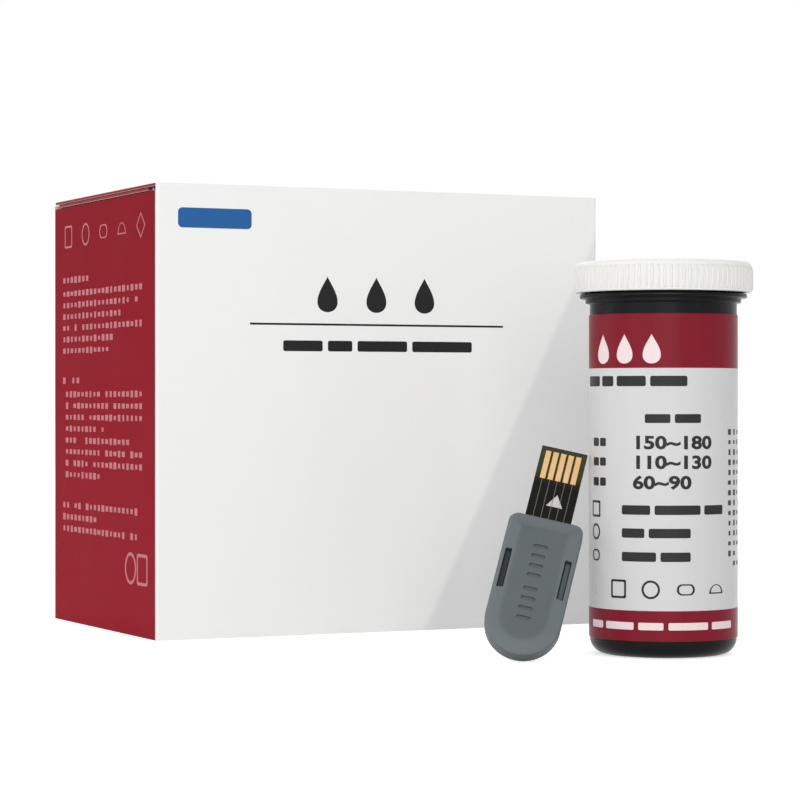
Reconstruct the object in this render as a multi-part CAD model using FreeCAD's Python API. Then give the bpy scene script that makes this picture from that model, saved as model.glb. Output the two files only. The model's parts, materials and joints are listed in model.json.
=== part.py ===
import FreeCAD, Part
import math
import os

# Haemoglobin test-strip kit: a folding carton, a capped vial of strips and the code card of the meter.
# Origin: centre of the carton's base. +Z up, the carton's front faces -Y. Millimetres.

V = FreeCAD.Vector

# Carton
carton_width = 110.0
carton_depth = 70.0
carton_height = 100.0
board = 0.6
crease_gap = 0.25
lid_front_gap = 0.3
lid_side_gap = 0.3
crease_rounding = 0.4
bottom_seam_gap = 0.3
bottom_seam_offset = 10.0
bottom_flap_taper = 12.0

# Tuck flap on the lid's front edge
tuck_length = 14.0
tuck_lean_deg = 12.0
tuck_side_gap = 1.2
tuck_corner_radius = 6.0

# Dust flaps on the side panels
dust_length = 30.0
dust_front_setback = 4.5
dust_rear_setback = 3.0
dust_taper = 0.65
dust_corner_radius = 3.0

# Glue flap inside the rear right corner
glue_flap_width = 12.0
glue_flap_end_gap = 12.0

# Folded leaflet standing behind the front panel
paper = 0.15
leaflet_width = 46.0
leaflet_height = 84.0
leaflet_layers = 6
leaflet_pitch = 0.5
leaflet_front_gap = 5.0

# Vial
vial_x = 30.0
vial_y = -107.0
tube_radius = 15.2
tube_wall = 1.3
tube_floor = 1.5
tube_base_rounding = 3.4
tube_foot_width = 2.6
tube_foot_recess = 0.4
bore_rounding = 1.0
label_thickness = 0.15
label_glue = 0.05
label_lift = 3.6
label_height = 66.5
label_seam = 0.8
bare_band = 2.4
collar_radius = 16.1
collar_height = 1.0
flange_radius = 17.3
flange_height = 0.9
neck_radius = 15.6
neck_height = 4.7
small_rounding = 0.3

# Cap
cap_radius = 18.35
cap_seat_gap = 0.3
cap_top_gap = 0.3
cap_plate = 1.6
cap_edge_rounding = 1.3
skirt_clearance = 0.4
plug_clearance = 0.25
plug_wall = 0.9
plug_length = 5.8
rib_count = 90
rib_height = 0.25
rib_width = 0.62
rib_top_margin = 1.1
rib_bottom_margin = 0.5

# Desiccant in the plug
disc_thickness = 0.4
disc_recess = 0.3
disc_clearance = 0.05

# Test strips
strip_count = 25
strip_width = 5.0
strip_thickness = 0.4
strip_pitch = 0.55
strip_headroom = 8.0
strip_wall_gap = 1.0
drawn_strip_gap = 0.3
pad_length = 5.0
pad_width = 4.0
pad_thickness = 0.1
pad_end_margin = 2.0

# Code card, in its own frame: x across, y along, z through its thickness
handle_width = 15.5
handle_length = 30.6
shoulder_radius = 2.0
back_shell_height = 2.2
front_shell_height = 2.8
latch_root = 1.1
shell_skin = 1.0
edge_break = 0.4
side_height = 1.5
bevel_margin = 3.3
pcb_width = 9.6
pcb_thickness = 1.0
pcb_lift = 0.8
pcb_exposed = 16.6
pcb_inside = 23.0
pcb_slot_clearance = 0.15
contact_count = 5
contact_pitch = 1.6
contact_width = 1.1
contact_length = 6.4
contact_inset = 1.0
contact_thickness = 0.05
latch_offset = 6.2
latch_window_width = 1.4
latch_window_length = 8.8
latch_from_shoulder = 8.5
latch_clearance = 0.25
latch_sink = 1.6
peg_radius = 0.8
peg_clearance = 0.1
peg_from_shoulder = 3.5
peg_spacing = 17.0
chip_length = 4.4
chip_width = 3.0
chip_height = 0.9
chip_from_shoulder = 8.0
lead_count = 4
lead_pitch = 0.65
lead_width = 0.25
lead_length = 1.0
lead_thickness = 0.2
capacitor_length = 1.6
capacitor_width = 0.8
capacitor_height = 0.6
capacitor_gap = 1.5

# How the card leans against the vial
card_turn_deg = 25.5
card_tilt_deg = 14.0
card_lean_deg = 27.0
card_vial_gap = 0.3

# Levels worked out from the sizes above
half_width = carton_width / 2
half_depth = carton_depth / 2
lid_underside = carton_height - board
lid_front = -half_depth + board + lid_front_gap
dust_top = lid_underside - crease_gap
side_top = dust_top - board - crease_gap
bottom_inside = 2 * board
bore_radius = tube_radius - tube_wall
label_inner = tube_radius + label_glue
label_radius = label_inner + label_thickness
collar_level = label_lift + label_height + bare_band
flange_level = collar_level + collar_height
neck_level = flange_level + flange_height
rim_level = neck_level + neck_height
cap_level = neck_level + cap_seat_gap
plate_level = rim_level + cap_top_gap
cap_top = plate_level + cap_plate
plug_level = plate_level - plug_length
plug_radius = bore_radius - plug_clearance
strip_length = plug_level - strip_headroom - tube_floor
handle_thickness = back_shell_height + front_shell_height
pcb_back = shell_skin + pcb_lift
pcb_front = pcb_back + pcb_thickness
pcb_tip = handle_length + pcb_exposed
ceiling = handle_thickness - shell_skin


def block(x0, y0, z0, x1, y1, z1):
    """A box between two corners."""
    return Part.makeBox(x1 - x0, y1 - y0, z1 - z0, V(x0, y0, z0))


def rounded_wire(points, place):
    """A closed outline through (u, v, radius) corners; place turns (u, v) into a vector."""
    count = len(points)
    arcs = []
    for i in range(count):
        u, v, radius = points[i]
        corner = V(u, v, 0)
        before = V(points[i - 1][0], points[i - 1][1], 0) - corner
        after = V(points[(i + 1) % count][0], points[(i + 1) % count][1], 0) - corner
        half_angle = before.getAngle(after) / 2
        before.normalize()
        after.normalize()
        reach = radius / math.tan(half_angle)
        middle = before + after
        middle.normalize()
        sag = radius / math.sin(half_angle) - radius
        arcs.append((corner + before * reach, corner + middle * sag, corner + after * reach, radius))
    edges = []
    for i in range(count):
        start, middle, end, radius = arcs[i]
        if radius > 0:
            edges.append(Part.Arc(place(start), place(middle), place(end)).toShape())
        following = arcs[(i + 1) % count][0]
        if (following - end).Length > 1e-6:
            edges.append(Part.LineSegment(place(end), place(following)).toShape())
    return Part.Wire(edges)


def plate_xy(points, z0, z1):
    """An outline in X and Y, raised from z0 to z1."""
    wire = rounded_wire(points, lambda p: V(p.x, p.y, z0))
    return Part.Face(wire).extrude(V(0, 0, z1 - z0))


def plate_yz(points, x0, x1):
    """An outline in Y and Z, drawn out from x0 to x1."""
    wire = rounded_wire(points, lambda p: V(x0, p.x, p.y))
    return Part.Face(wire).extrude(V(x1 - x0, 0, 0))


def turned(points):
    """A round piece from its (radius, height) outline, standing at the vial's place."""
    wire = rounded_wire(points, lambda p: V(p.x, 0, p.y))
    solid = Part.Face(wire).revolve(V(0, 0, 0), V(0, 0, 1), 360)
    solid.translate(V(vial_x, vial_y, 0))
    return solid


def wide_panel(side):
    """Front (side -1) or back (side 1) panel, rounded where it folds round to the side panels."""
    outer = side * half_depth
    inner = side * (half_depth - board)
    points = [(-half_width, outer, board), (half_width, outer, board)]
    points += [(half_width, inner, 0), (-half_width, inner, 0)]
    top = carton_height if side < 0 else lid_underside - crease_gap
    return plate_xy(points, 0, top)


def side_panel(side):
    """Left (side -1) or right (side 1) panel between the front and the back panel."""
    x0, x1 = sorted((side * half_width, side * (half_width - board)))
    return block(x0, board - half_depth, 0, x1, half_depth - board, side_top)


def glue_flap():
    """The strip that joins the blank into a tube, glued inside the right panel."""
    x1 = half_width - board
    y1 = half_depth - board
    top = side_top - glue_flap_end_gap
    return block(x1 - board, y1 - glue_flap_width, bottom_inside + board, x1, y1, top)


def bottom_outer_flap(side):
    """Front (side -1) or back (side 1) part of the outer bottom layer; the front one is the longer."""
    y0, y1 = sorted((bottom_seam_offset + side * bottom_seam_gap / 2, side * (half_depth - board)))
    return block(board - half_width, y0, 0, half_width - board, y1, board)


def bottom_inner_flap(side):
    """Left (side -1) or right (side 1) flap of the inner bottom layer, with tapered corners."""
    root = side * (half_width - board)
    tip = side * bottom_seam_gap / 2
    wide = half_depth - board
    narrow = wide - bottom_flap_taper
    points = [(root, -wide, 0), (root, wide, 0), (tip, narrow, 0), (tip, -narrow, 0)]
    return plate_xy(points, board, bottom_inside)


def lid():
    """Top panel, hinged at the back and rounded along both folds."""
    points = [(lid_front, lid_underside, 0), (half_depth, lid_underside, 0)]
    points += [(half_depth, carton_height, crease_rounding), (lid_front, carton_height, crease_rounding)]
    return plate_yz(points, lid_side_gap - half_width, half_width - lid_side_gap)


def tuck_flap():
    """Flap that hangs from the lid's front edge inside the front panel, leaning inwards."""
    half = half_width - board - tuck_side_gap
    top = lid_underside - crease_gap
    outline = [(-half, top, 0), (half, top, 0), (half, top - tuck_length, tuck_corner_radius)]
    outline += [(-half, top - tuck_length, tuck_corner_radius)]
    wire = rounded_wire(outline, lambda p: V(p.x, lid_front, p.y))
    flap = Part.Face(wire).extrude(V(0, board, 0))
    flap.rotate(V(0, lid_front, top), V(1, 0, 0), tuck_lean_deg)
    return flap


def dust_flap(side):
    """Flap folded in from a side panel's top edge, under the lid."""
    root = side * half_width
    tip = side * (half_width - dust_length)
    front = board - half_depth + dust_front_setback
    rear = half_depth - board - dust_rear_setback
    points = [(root, front, 0), (root, rear, 0), (tip, rear - dust_taper * dust_length, dust_corner_radius)]
    points += [(tip, front, dust_corner_radius)]
    return plate_xy(points, dust_top - board, dust_top)


def leaflet():
    """Instruction sheet folded to and fro, standing on the inner bottom flaps."""
    front = board - half_depth + leaflet_front_gap
    half = leaflet_width / 2
    top = bottom_inside + leaflet_height
    pieces = []
    for i in range(leaflet_layers):
        y0 = front + i * leaflet_pitch
        pieces.append(block(-half, y0, bottom_inside, half, y0 + paper, top))
        if i + 1 < leaflet_layers:
            pieces.append(leaflet_fold(y0 + (leaflet_pitch + paper) / 2, half if i % 2 == 0 else -half))
    return pieces[0].fuse(pieces[1:]).removeSplitter()


def leaflet_fold(y, x):
    """Half round fold between two layers of the leaflet."""
    base = V(x, y, bottom_inside)
    outer = Part.makeCylinder((leaflet_pitch + paper) / 2, leaflet_height, base)
    inner = Part.makeCylinder((leaflet_pitch - paper) / 2, leaflet_height, base)
    side = math.copysign(leaflet_pitch, x)
    x0, x1 = sorted((x, x + side))
    half = block(x0, y - leaflet_pitch, bottom_inside, x1, y + leaflet_pitch, bottom_inside + leaflet_height)
    return outer.cut(inner).common(half)


def vial_tube():
    """Moulded tube with a recessed base, a collar, a flange and a plain neck."""
    foot = tube_radius - tube_base_rounding - tube_foot_width
    points = [(0, tube_foot_recess, 0), (foot, tube_foot_recess, 0), (foot + tube_foot_recess, 0, 0)]
    points += [(tube_radius, 0, tube_base_rounding), (tube_radius, collar_level, 0)]
    points += [(collar_radius, collar_level, small_rounding), (collar_radius, flange_level, 0)]
    points += [(flange_radius, flange_level, small_rounding), (flange_radius, neck_level, small_rounding)]
    points += [(neck_radius, neck_level, 0), (neck_radius, rim_level, small_rounding)]
    points += [(bore_radius, rim_level, small_rounding), (bore_radius, tube_floor, bore_rounding)]
    points += [(0, tube_floor, 0)]
    return turned(points)


def vial_label():
    """Printed wrap round the tube, with its seam at the back."""
    low = label_lift
    high = label_lift + label_height
    outline = [(label_inner, low, 0), (label_radius, low, 0)]
    outline += [(label_radius, high, 0), (label_inner, high, 0)]
    ring = turned(outline)
    seam = block(-label_seam / 2, 0, low - 1, label_seam / 2, label_radius + 1, high + 1)
    seam.rotate(V(0, 0, 0), V(0, 0, 1), -card_turn_deg)
    seam.translate(V(vial_x, vial_y, 0))
    return ring.cut(seam)


def strip_place(index):
    """Lower X of a strip in the row of strips; the last one stands a little apart."""
    start = -math.sqrt((bore_radius - strip_wall_gap) ** 2 - (strip_width / 2) ** 2)
    extra = drawn_strip_gap if index == strip_count - 1 else 0
    return vial_x + start + index * strip_pitch + extra


def strip(index):
    """One plastic strip standing on the tube's floor."""
    x0 = strip_place(index)
    y0 = vial_y - strip_width / 2
    return block(x0, y0, tube_floor, x0 + strip_thickness, y0 + strip_width, tube_floor + strip_length)


def pad(index):
    """The reagent pad near the upper end of a strip."""
    x0 = strip_place(index) + strip_thickness
    y0 = vial_y - pad_width / 2
    top = tube_floor + strip_length - pad_end_margin
    return block(x0, y0, top - pad_length, x0 + pad_thickness, y0 + pad_width, top)


def vial_cap():
    """Cap with a ribbed skirt outside the neck and a hollow plug inside it."""
    skirt_inner = neck_radius + skirt_clearance
    plug_inner = plug_radius - plug_wall
    points = [(0, plate_level, 0), (plug_inner, plate_level, 0), (plug_inner, plug_level, small_rounding)]
    points += [(plug_radius, plug_level, small_rounding), (plug_radius, plate_level, 0)]
    points += [(skirt_inner, plate_level, 0), (skirt_inner, cap_level, 0)]
    points += [(cap_radius, cap_level, small_rounding), (cap_radius, cap_top, cap_edge_rounding)]
    points += [(0, cap_top, 0)]
    body = turned(points)
    low = cap_level + rib_bottom_margin
    high = cap_top - rib_top_margin
    return body.fuse([cap_rib(i, low, high) for i in range(rib_count)])


def cap_rib(index, low, high):
    """One grip rib, wedge-shaped at its upper end."""
    inner = cap_radius - rib_height
    outer = cap_radius + rib_height
    points = [(inner, low, 0), (outer, low, 0), (outer, high - 2 * rib_height, 0), (inner, high, 0)]
    wire = rounded_wire(points, lambda p: V(p.x, -rib_width / 2, p.y))
    rib = Part.Face(wire).extrude(V(0, rib_width, 0))
    rib.rotate(V(0, 0, 0), V(0, 0, 1), (index + 0.5) * 360 / rib_count)
    rib.translate(V(vial_x, vial_y, 0))
    return rib


def desiccant():
    """Drying beads and the paper disc that holds them in the plug."""
    radius = plug_radius - plug_wall - disc_clearance
    disc_level = plug_level + disc_recess
    beads_level = disc_level + disc_thickness
    disc = Part.makeCylinder(radius, disc_thickness, V(vial_x, vial_y, disc_level))
    beads = Part.makeCylinder(radius, plate_level - beads_level, V(vial_x, vial_y, beads_level))
    return disc, beads


def handle_outline(inset, z):
    """The card handle's outline, drawn in by inset: a round lower end and rounded shoulders."""
    half = handle_width / 2 - inset
    shoulder = max(shoulder_radius - inset, edge_break)
    points = [(-half, inset, half), (half, inset, half)]
    points += [(half, handle_length - inset, shoulder), (-half, handle_length - inset, shoulder)]
    return rounded_wire(points, lambda p: V(p.x, p.y, z))


def handle_layer(inset0, z0, inset1, z1):
    """A slice of the handle between two outlines."""
    return Part.makeLoft([handle_outline(inset0, z0), handle_outline(inset1, z1)], True, True)


def pcb_slot():
    """Room for the circuit board through the handle's upper end."""
    half = pcb_width / 2 + pcb_slot_clearance
    low = handle_length - pcb_inside - pcb_slot_clearance
    back = pcb_back
    front = pcb_front + pcb_slot_clearance
    return block(-half, low, back, half, handle_length + 1, front)


def latch_windows(clearance, z0, z1):
    """The two latch windows, or with a clearance the tabs that fill them."""
    half = latch_window_width / 2 - clearance
    top = handle_length - latch_from_shoulder - clearance
    low = handle_length - latch_from_shoulder - latch_window_length + clearance
    windows = []
    for x in (-latch_offset, latch_offset):
        windows.append(block(x - half, low, z0, x + half, top, z1))
    return windows


def pegs(radius, z0, z1):
    """Two locating pegs, or with a larger radius the holes for them."""
    first = handle_length - peg_from_shoulder
    return [Part.makeCylinder(radius, z1 - z0, V(0, y, z0)) for y in (first, first - peg_spacing)]


def card_front_shell():
    """Front half of the handle, bevelled all round a raised field, with two latch windows."""
    seam = back_shell_height
    bevel = seam + side_height
    shell = handle_layer(0, seam, 0, bevel)
    shell = shell.fuse(handle_layer(0, bevel, edge_break, bevel + edge_break))
    shell = shell.fuse(handle_layer(edge_break, bevel + edge_break, bevel_margin, handle_thickness))
    room = handle_layer(bevel_margin, seam, bevel_margin, ceiling)
    return shell.cut([room, pcb_slot()] + latch_windows(0, seam, handle_thickness)).removeSplitter()


def card_back_shell():
    """Back half of the handle, with pegs for the board and latch tabs that reach into the windows."""
    seam = back_shell_height
    shell = handle_layer(edge_break, 0, 0, edge_break).fuse(handle_layer(0, edge_break, 0, seam))
    room = handle_layer(bevel_margin, shell_skin, bevel_margin, seam)
    shell = shell.cut([room, pcb_slot()])
    tabs = latch_windows(latch_clearance, seam - latch_root, handle_thickness - latch_sink)
    return shell.fuse(tabs + pegs(peg_radius, shell_skin / 2, pcb_front)).removeSplitter()


def card_pcb():
    """Circuit board: bare edge connector outside, peg holes inside the handle."""
    low = handle_length - pcb_inside
    board_blank = block(-pcb_width / 2, low, pcb_back, pcb_width / 2, pcb_tip, pcb_front)
    return board_blank.cut(pegs(peg_radius + peg_clearance, pcb_back - 1, pcb_front + 1))


def card_contacts():
    """Gold fingers at the board's free end, one solid each."""
    top = pcb_tip - contact_inset
    first = -(contact_count - 1) / 2 * contact_pitch
    fingers = []
    for i in range(contact_count):
        x = first + i * contact_pitch
        low = V(x - contact_width / 2, top - contact_length, pcb_front)
        fingers.append(Part.makeBox(contact_width, contact_length, contact_thickness, low))
    return Part.makeCompound(fingers)


def memory_chip():
    """Memory chip on the board, inside the handle, with a row of leads on each side."""
    y = handle_length - chip_from_shoulder
    body = block(-chip_length / 2, y - chip_width, pcb_front, chip_length / 2, y, pcb_front + chip_height)
    leads = []
    for i in range(lead_count):
        middle = y - chip_width / 2 + (i - (lead_count - 1) / 2) * lead_pitch
        for side in (-1, 1):
            x0, x1 = sorted((side * chip_length / 2, side * (chip_length / 2 + lead_length)))
            low = middle - lead_width / 2
            leads.append(block(x0, low, pcb_front, x1, low + lead_width, pcb_front + lead_thickness))
    return body.fuse(leads).removeSplitter()


def capacitor():
    """Small ceramic capacitor beside the memory chip."""
    y = handle_length - chip_from_shoulder - chip_width - capacitor_gap
    half = capacitor_length / 2
    return block(-half, y - capacitor_width, pcb_front, half, y, pcb_front + capacitor_height)


def card_axes():
    """Directions of the card's own x, y and z: turned to the viewer, tilted and leaning back."""
    turn = math.radians(card_turn_deg)
    tilt = math.radians(card_tilt_deg)
    lean = math.radians(card_lean_deg)
    right = V(math.cos(turn), -math.sin(turn), 0)
    away = V(math.sin(turn), math.cos(turn), 0)
    up = V(0, 0, 1)
    rise = up * math.cos(lean) + away * math.sin(lean)
    across = right * math.cos(tilt) - rise * math.sin(tilt)
    along = right * math.sin(tilt) + rise * math.cos(tilt)
    return right, across, along, across.cross(along)


def card_placement(handle):
    """Stands the card on its round end, with the board's upper corner beside the vial."""
    right, across, along, out = card_axes()
    rows = (across.x, along.x, out.x, 0)
    rows += (across.y, along.y, out.y, 0)
    rows += (across.z, along.z, out.z, 0)
    rows += (0, 0, 0, 1)
    turning = FreeCAD.Placement(FreeCAD.Matrix(*rows))
    stood = handle.copy()
    stood.Placement = turning
    lift = -stood.optimalBoundingBox(False).ZMin
    corner = turning.multVec(V(pcb_width / 2, pcb_tip, (pcb_back + pcb_front) / 2))
    flank = V(vial_x, vial_y, 0) - right * (label_radius + card_vial_gap)
    shift = V(flank.x - corner.x, flank.y - corner.y, lift)
    return FreeCAD.Placement(shift, FreeCAD.Rotation()).multiply(turning)


def carton_nodes():
    return {
        "carton_front_panel": wide_panel(-1),
        "carton_back_panel": wide_panel(1),
        "carton_left_panel": side_panel(-1),
        "carton_right_panel": side_panel(1),
        "carton_glue_flap": glue_flap(),
        "bottom_front_flap": bottom_outer_flap(-1),
        "bottom_back_flap": bottom_outer_flap(1),
        "bottom_left_flap": bottom_inner_flap(-1),
        "bottom_right_flap": bottom_inner_flap(1),
        "carton_lid": lid(),
        "carton_tuck_flap": tuck_flap(),
        "left_dust_flap": dust_flap(-1),
        "right_dust_flap": dust_flap(1),
        "instruction_leaflet": leaflet(),
    }


def vial_nodes():
    disc, beads = desiccant()
    stock = range(strip_count - 1)
    last = strip_count - 1
    return {
        "vial_tube": vial_tube(),
        "vial_label": vial_label(),
        "test_strips": Part.makeCompound([strip(i) for i in stock]),
        "reagent_pads": Part.makeCompound([pad(i) for i in stock]),
        "drawn_strip": strip(last),
        "drawn_strip_pad": pad(last),
        "vial_cap": vial_cap(),
        "desiccant_disc": disc,
        "desiccant_beads": beads,
    }


def card_nodes():
    nodes = {
        "card_front_shell": card_front_shell(),
        "card_back_shell": card_back_shell(),
        "card_pcb": card_pcb(),
        "card_contacts": card_contacts(),
        "memory_chip": memory_chip(),
        "card_capacitor": capacitor(),
    }
    place = card_placement(nodes["card_back_shell"])
    for shape in nodes.values():
        shape.Placement = place
    return nodes, place


def main():
    os.makedirs("parts", exist_ok=True)
    card, place = card_nodes()
    nodes = {**carton_nodes(), **vial_nodes(), **card}
    for name, shape in nodes.items():
        shape.exportStep("parts/" + name + ".step")
    tip = place.multVec(V(0, pcb_tip, (pcb_back + pcb_front) / 2))
    print("card tip", tip, "card axis", card_axes()[2], "strip length", round(strip_length, 2))


main()
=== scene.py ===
import json
import math

import bmesh
import bpy
from bpy.props import FloatProperty, FloatVectorProperty, IntProperty, PointerProperty
from mathutils import Matrix, Vector


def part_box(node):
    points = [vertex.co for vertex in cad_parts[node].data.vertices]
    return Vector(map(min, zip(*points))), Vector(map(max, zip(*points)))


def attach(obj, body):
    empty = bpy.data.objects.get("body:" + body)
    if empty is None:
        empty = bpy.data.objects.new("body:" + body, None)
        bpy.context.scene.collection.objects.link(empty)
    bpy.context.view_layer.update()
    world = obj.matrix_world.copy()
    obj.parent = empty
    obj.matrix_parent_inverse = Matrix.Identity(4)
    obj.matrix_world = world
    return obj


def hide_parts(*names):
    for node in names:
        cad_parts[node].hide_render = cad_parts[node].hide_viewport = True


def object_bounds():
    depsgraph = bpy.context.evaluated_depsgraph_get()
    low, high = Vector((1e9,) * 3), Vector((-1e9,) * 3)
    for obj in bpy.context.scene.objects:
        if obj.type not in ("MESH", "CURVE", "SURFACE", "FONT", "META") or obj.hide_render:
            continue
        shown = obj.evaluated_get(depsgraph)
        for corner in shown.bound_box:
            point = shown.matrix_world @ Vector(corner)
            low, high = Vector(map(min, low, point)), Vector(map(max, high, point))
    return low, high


bl_info = {
    "name": "Test strip kit",
    "version": (1, 0, 0),
    "blender": (4, 5, 0),
    "location": "View3D > Sidebar > Strip kit",
    "description": "Dresses the carton, the strip vial and the code card of a haemoglobin test kit",
    "category": "Object",
}

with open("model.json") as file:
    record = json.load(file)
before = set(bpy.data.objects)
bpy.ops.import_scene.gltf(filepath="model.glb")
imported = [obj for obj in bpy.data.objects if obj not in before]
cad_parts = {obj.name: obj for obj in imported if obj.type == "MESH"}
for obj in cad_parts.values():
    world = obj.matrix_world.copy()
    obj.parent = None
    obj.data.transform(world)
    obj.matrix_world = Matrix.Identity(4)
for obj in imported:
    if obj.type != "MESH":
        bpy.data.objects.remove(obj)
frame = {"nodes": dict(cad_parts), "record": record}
cad_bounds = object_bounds()

MM = 0.001
WHITE = (1, 1, 1, 1)

# Camera of the photograph: its place, its turn to the right and its lens
CAMERA_PLACE = Vector((-265.7, -599.3, 52.5)) * MM
CAMERA_TURN = math.radians(25.53)
CAMERA_LENS_MM = 123.87
SENSOR_MM = 36.0
CAMERA_RIGHT = Vector((math.cos(CAMERA_TURN), -math.sin(CAMERA_TURN), 0))
TO_CAMERA = Vector((-math.sin(CAMERA_TURN), -math.cos(CAMERA_TURN), 0))

# Card details that no box of the frame gives
SHOULDER_RADIUS = 2.0 * MM
CONTACT_COUNT = 5
CONTACT_WIDTH = 1.1 * MM
WINDOW_OFFSET = 6.2 * MM
WINDOW_WIDTH = 1.4 * MM
WINDOW_FROM_SHOULDER = 8.5 * MM
WINDOW_LENGTH = 8.8 * MM

# Prints are drawn in millimetres; they stand a hair proud of the surface and reach a hair into it
PRINT_PROUD = 0.025
PRINT_SUNK = 0.02
PRINT_THICKNESS = PRINT_PROUD + PRINT_SUNK
PRINT_MIDDLE = (PRINT_PROUD - PRINT_SUNK) / 2

# Greeked lines on the carton's sides: left, bottom, right and top edge, rows and columns
SIDE_LINES = ((-27.5, 79.4, -11, 82.4, 1, 7), (-27.5, 62.8, 25, 79.0, 6, 20), (-27.5, 55.6, -11, 58.6, 1, 6),
              (-25.5, 33.5, 25, 55.2, 8, 19), (-27.5, 20.6, 22, 29.0, 3, 19))


def linear(red, green, blue):
    """An sRGB colour given in 0 to 255, as the linear values that shaders take."""
    shares = (red / 255, green / 255, blue / 255)
    return tuple(c / 12.92 if c <= 0.04045 else ((c + 0.055) / 1.055) ** 2.4 for c in shares)


def shade(rgb, factor=1.0):
    """A linear colour as the four numbers of a colour socket, lighter or darker by a factor."""
    return (rgb[0] * factor, rgb[1] * factor, rgb[2] * factor, 1.0)


def srgb(red, green, blue):
    """An sRGB colour given in 0 to 255, as the four numbers of a colour socket."""
    return shade(linear(red, green, blue))


def length_setting(name, description, millimetres):
    return FloatProperty(name=name, description=description, default=millimetres * MM, unit="LENGTH")


def colour_setting(name, description, red, green, blue):
    return FloatVectorProperty(
        name=name, description=description, default=linear(red, green, blue), size=3, subtype="COLOR")


class KitSettings(bpy.types.PropertyGroup):
    rib_count: IntProperty(name="Cap ribs", description="Grip ribs round the cap", default=90, min=12)
    rib_height: length_setting("Rib height", "How far a rib stands out of the skirt", 0.25)
    band_low: length_setting("Lower band", "Height at which the wrap's lower red band ends", 9.8)
    band_high: length_setting("Upper band", "Height at which the wrap's upper red band starts", 59.0)
    board_white: colour_setting("Carton white", "Coated board", 237, 237, 236)
    # The carton tint is a painted shadow: the grey field across the front's lower right corner.
    board_painted_shadow: colour_setting("Carton tint", "Grey field printed across the front's corner", 225, 225, 225)
    board_red: colour_setting("Carton red", "Red of the side panels", 141, 20, 35)
    board_inside: colour_setting("Carton inside", "Uncoated inner side of the board", 206, 202, 192)
    tube_black: colour_setting("Tube black", "Moulded tube", 20, 20, 22)
    wrap_white: colour_setting("Wrap white", "White of the vial's wrap", 206, 206, 207)
    wrap_red: colour_setting("Wrap red", "Red bands of the vial's wrap", 124, 28, 42)
    cap_white: colour_setting("Cap white", "Cap plastic", 233, 232, 229)
    handle_grey: colour_setting("Handle grey", "Plastic of the code card", 96, 103, 105)
    ink_dark: colour_setting("Dark ink", "Dark prints", 34, 33, 34)
    ink_blue: colour_setting("Blue ink", "Bar in the carton's upper corner", 38, 92, 150)
    ink_rose: colour_setting("Rose ink", "Prints on the red sides", 186, 112, 117)
    ink_white: colour_setting("White ink", "Prints on the wrap's red bands", 226, 208, 208)


# Nodes

class Value:
    """A socket of a node tree that takes part in plain arithmetic."""

    def __init__(self, graph, socket):
        self.graph = graph
        self.socket = socket

    def math(self, operation, *others):
        """A Math node on this value and any others."""
        return self.graph.node("ShaderNodeMath", dict(enumerate((self, *others))), operation=operation)

    def __add__(self, other):
        return self.math("ADD", other)

    __radd__ = __add__

    def __mul__(self, other):
        return self.math("MULTIPLY", other)

    __rmul__ = __mul__

    def __sub__(self, other):
        return self.math("SUBTRACT", other)

    def __rsub__(self, other):
        return self.math("MULTIPLY_ADD", -1.0, other)

    def __truediv__(self, other):
        return self.math("DIVIDE", other)

    def __gt__(self, other):
        return self.math("GREATER_THAN", other)

    def __lt__(self, other):
        return self.math("LESS_THAN", other)

    def size(self):
        """The value without its sign."""
        return self.math("ABSOLUTE")

    def step(self, low, high):
        """0 up to low, 1 from high, and a soft step between."""
        sockets = {"Value": self, "From Min": low, "From Max": high}
        return self.graph.node("ShaderNodeMapRange", sockets, interpolation_type="SMOOTHSTEP")


class Graph:
    """A node tree under construction."""

    def __init__(self, tree):
        self.tree = tree
        tree.nodes.clear()

    def made(self, kind, sockets=None, **settings):
        """One node: its settings come first, then the values or links of its sockets."""
        node = self.tree.nodes.new(kind)
        for name, value in settings.items():
            setattr(node, name, value)
        for key, value in (sockets or {}).items():
            if isinstance(value, Value):
                self.tree.links.new(value.socket, node.inputs[key])
            else:
                node.inputs[key].default_value = value
        return node

    def node(self, kind, sockets=None, output=0, **settings):
        """One node, as the value that it gives."""
        return Value(self, self.made(kind, sockets, **settings).outputs[output])

    def axes(self, vector):
        """A vector's three numbers."""
        split = self.made("ShaderNodeSeparateXYZ", {0: vector})
        return [Value(self, socket) for socket in split.outputs]

    def seen(self):
        """1 for what the camera sees, straight or by way of gloss or glass."""
        path = self.made("ShaderNodeLightPath")
        straight, glossy, through = [
            Value(self, path.outputs[f"Is {ray} Ray"]) for ray in ("Camera", "Glossy", "Transmission")]
        return straight.math("MAXIMUM", glossy).math("MAXIMUM", through)


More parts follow.
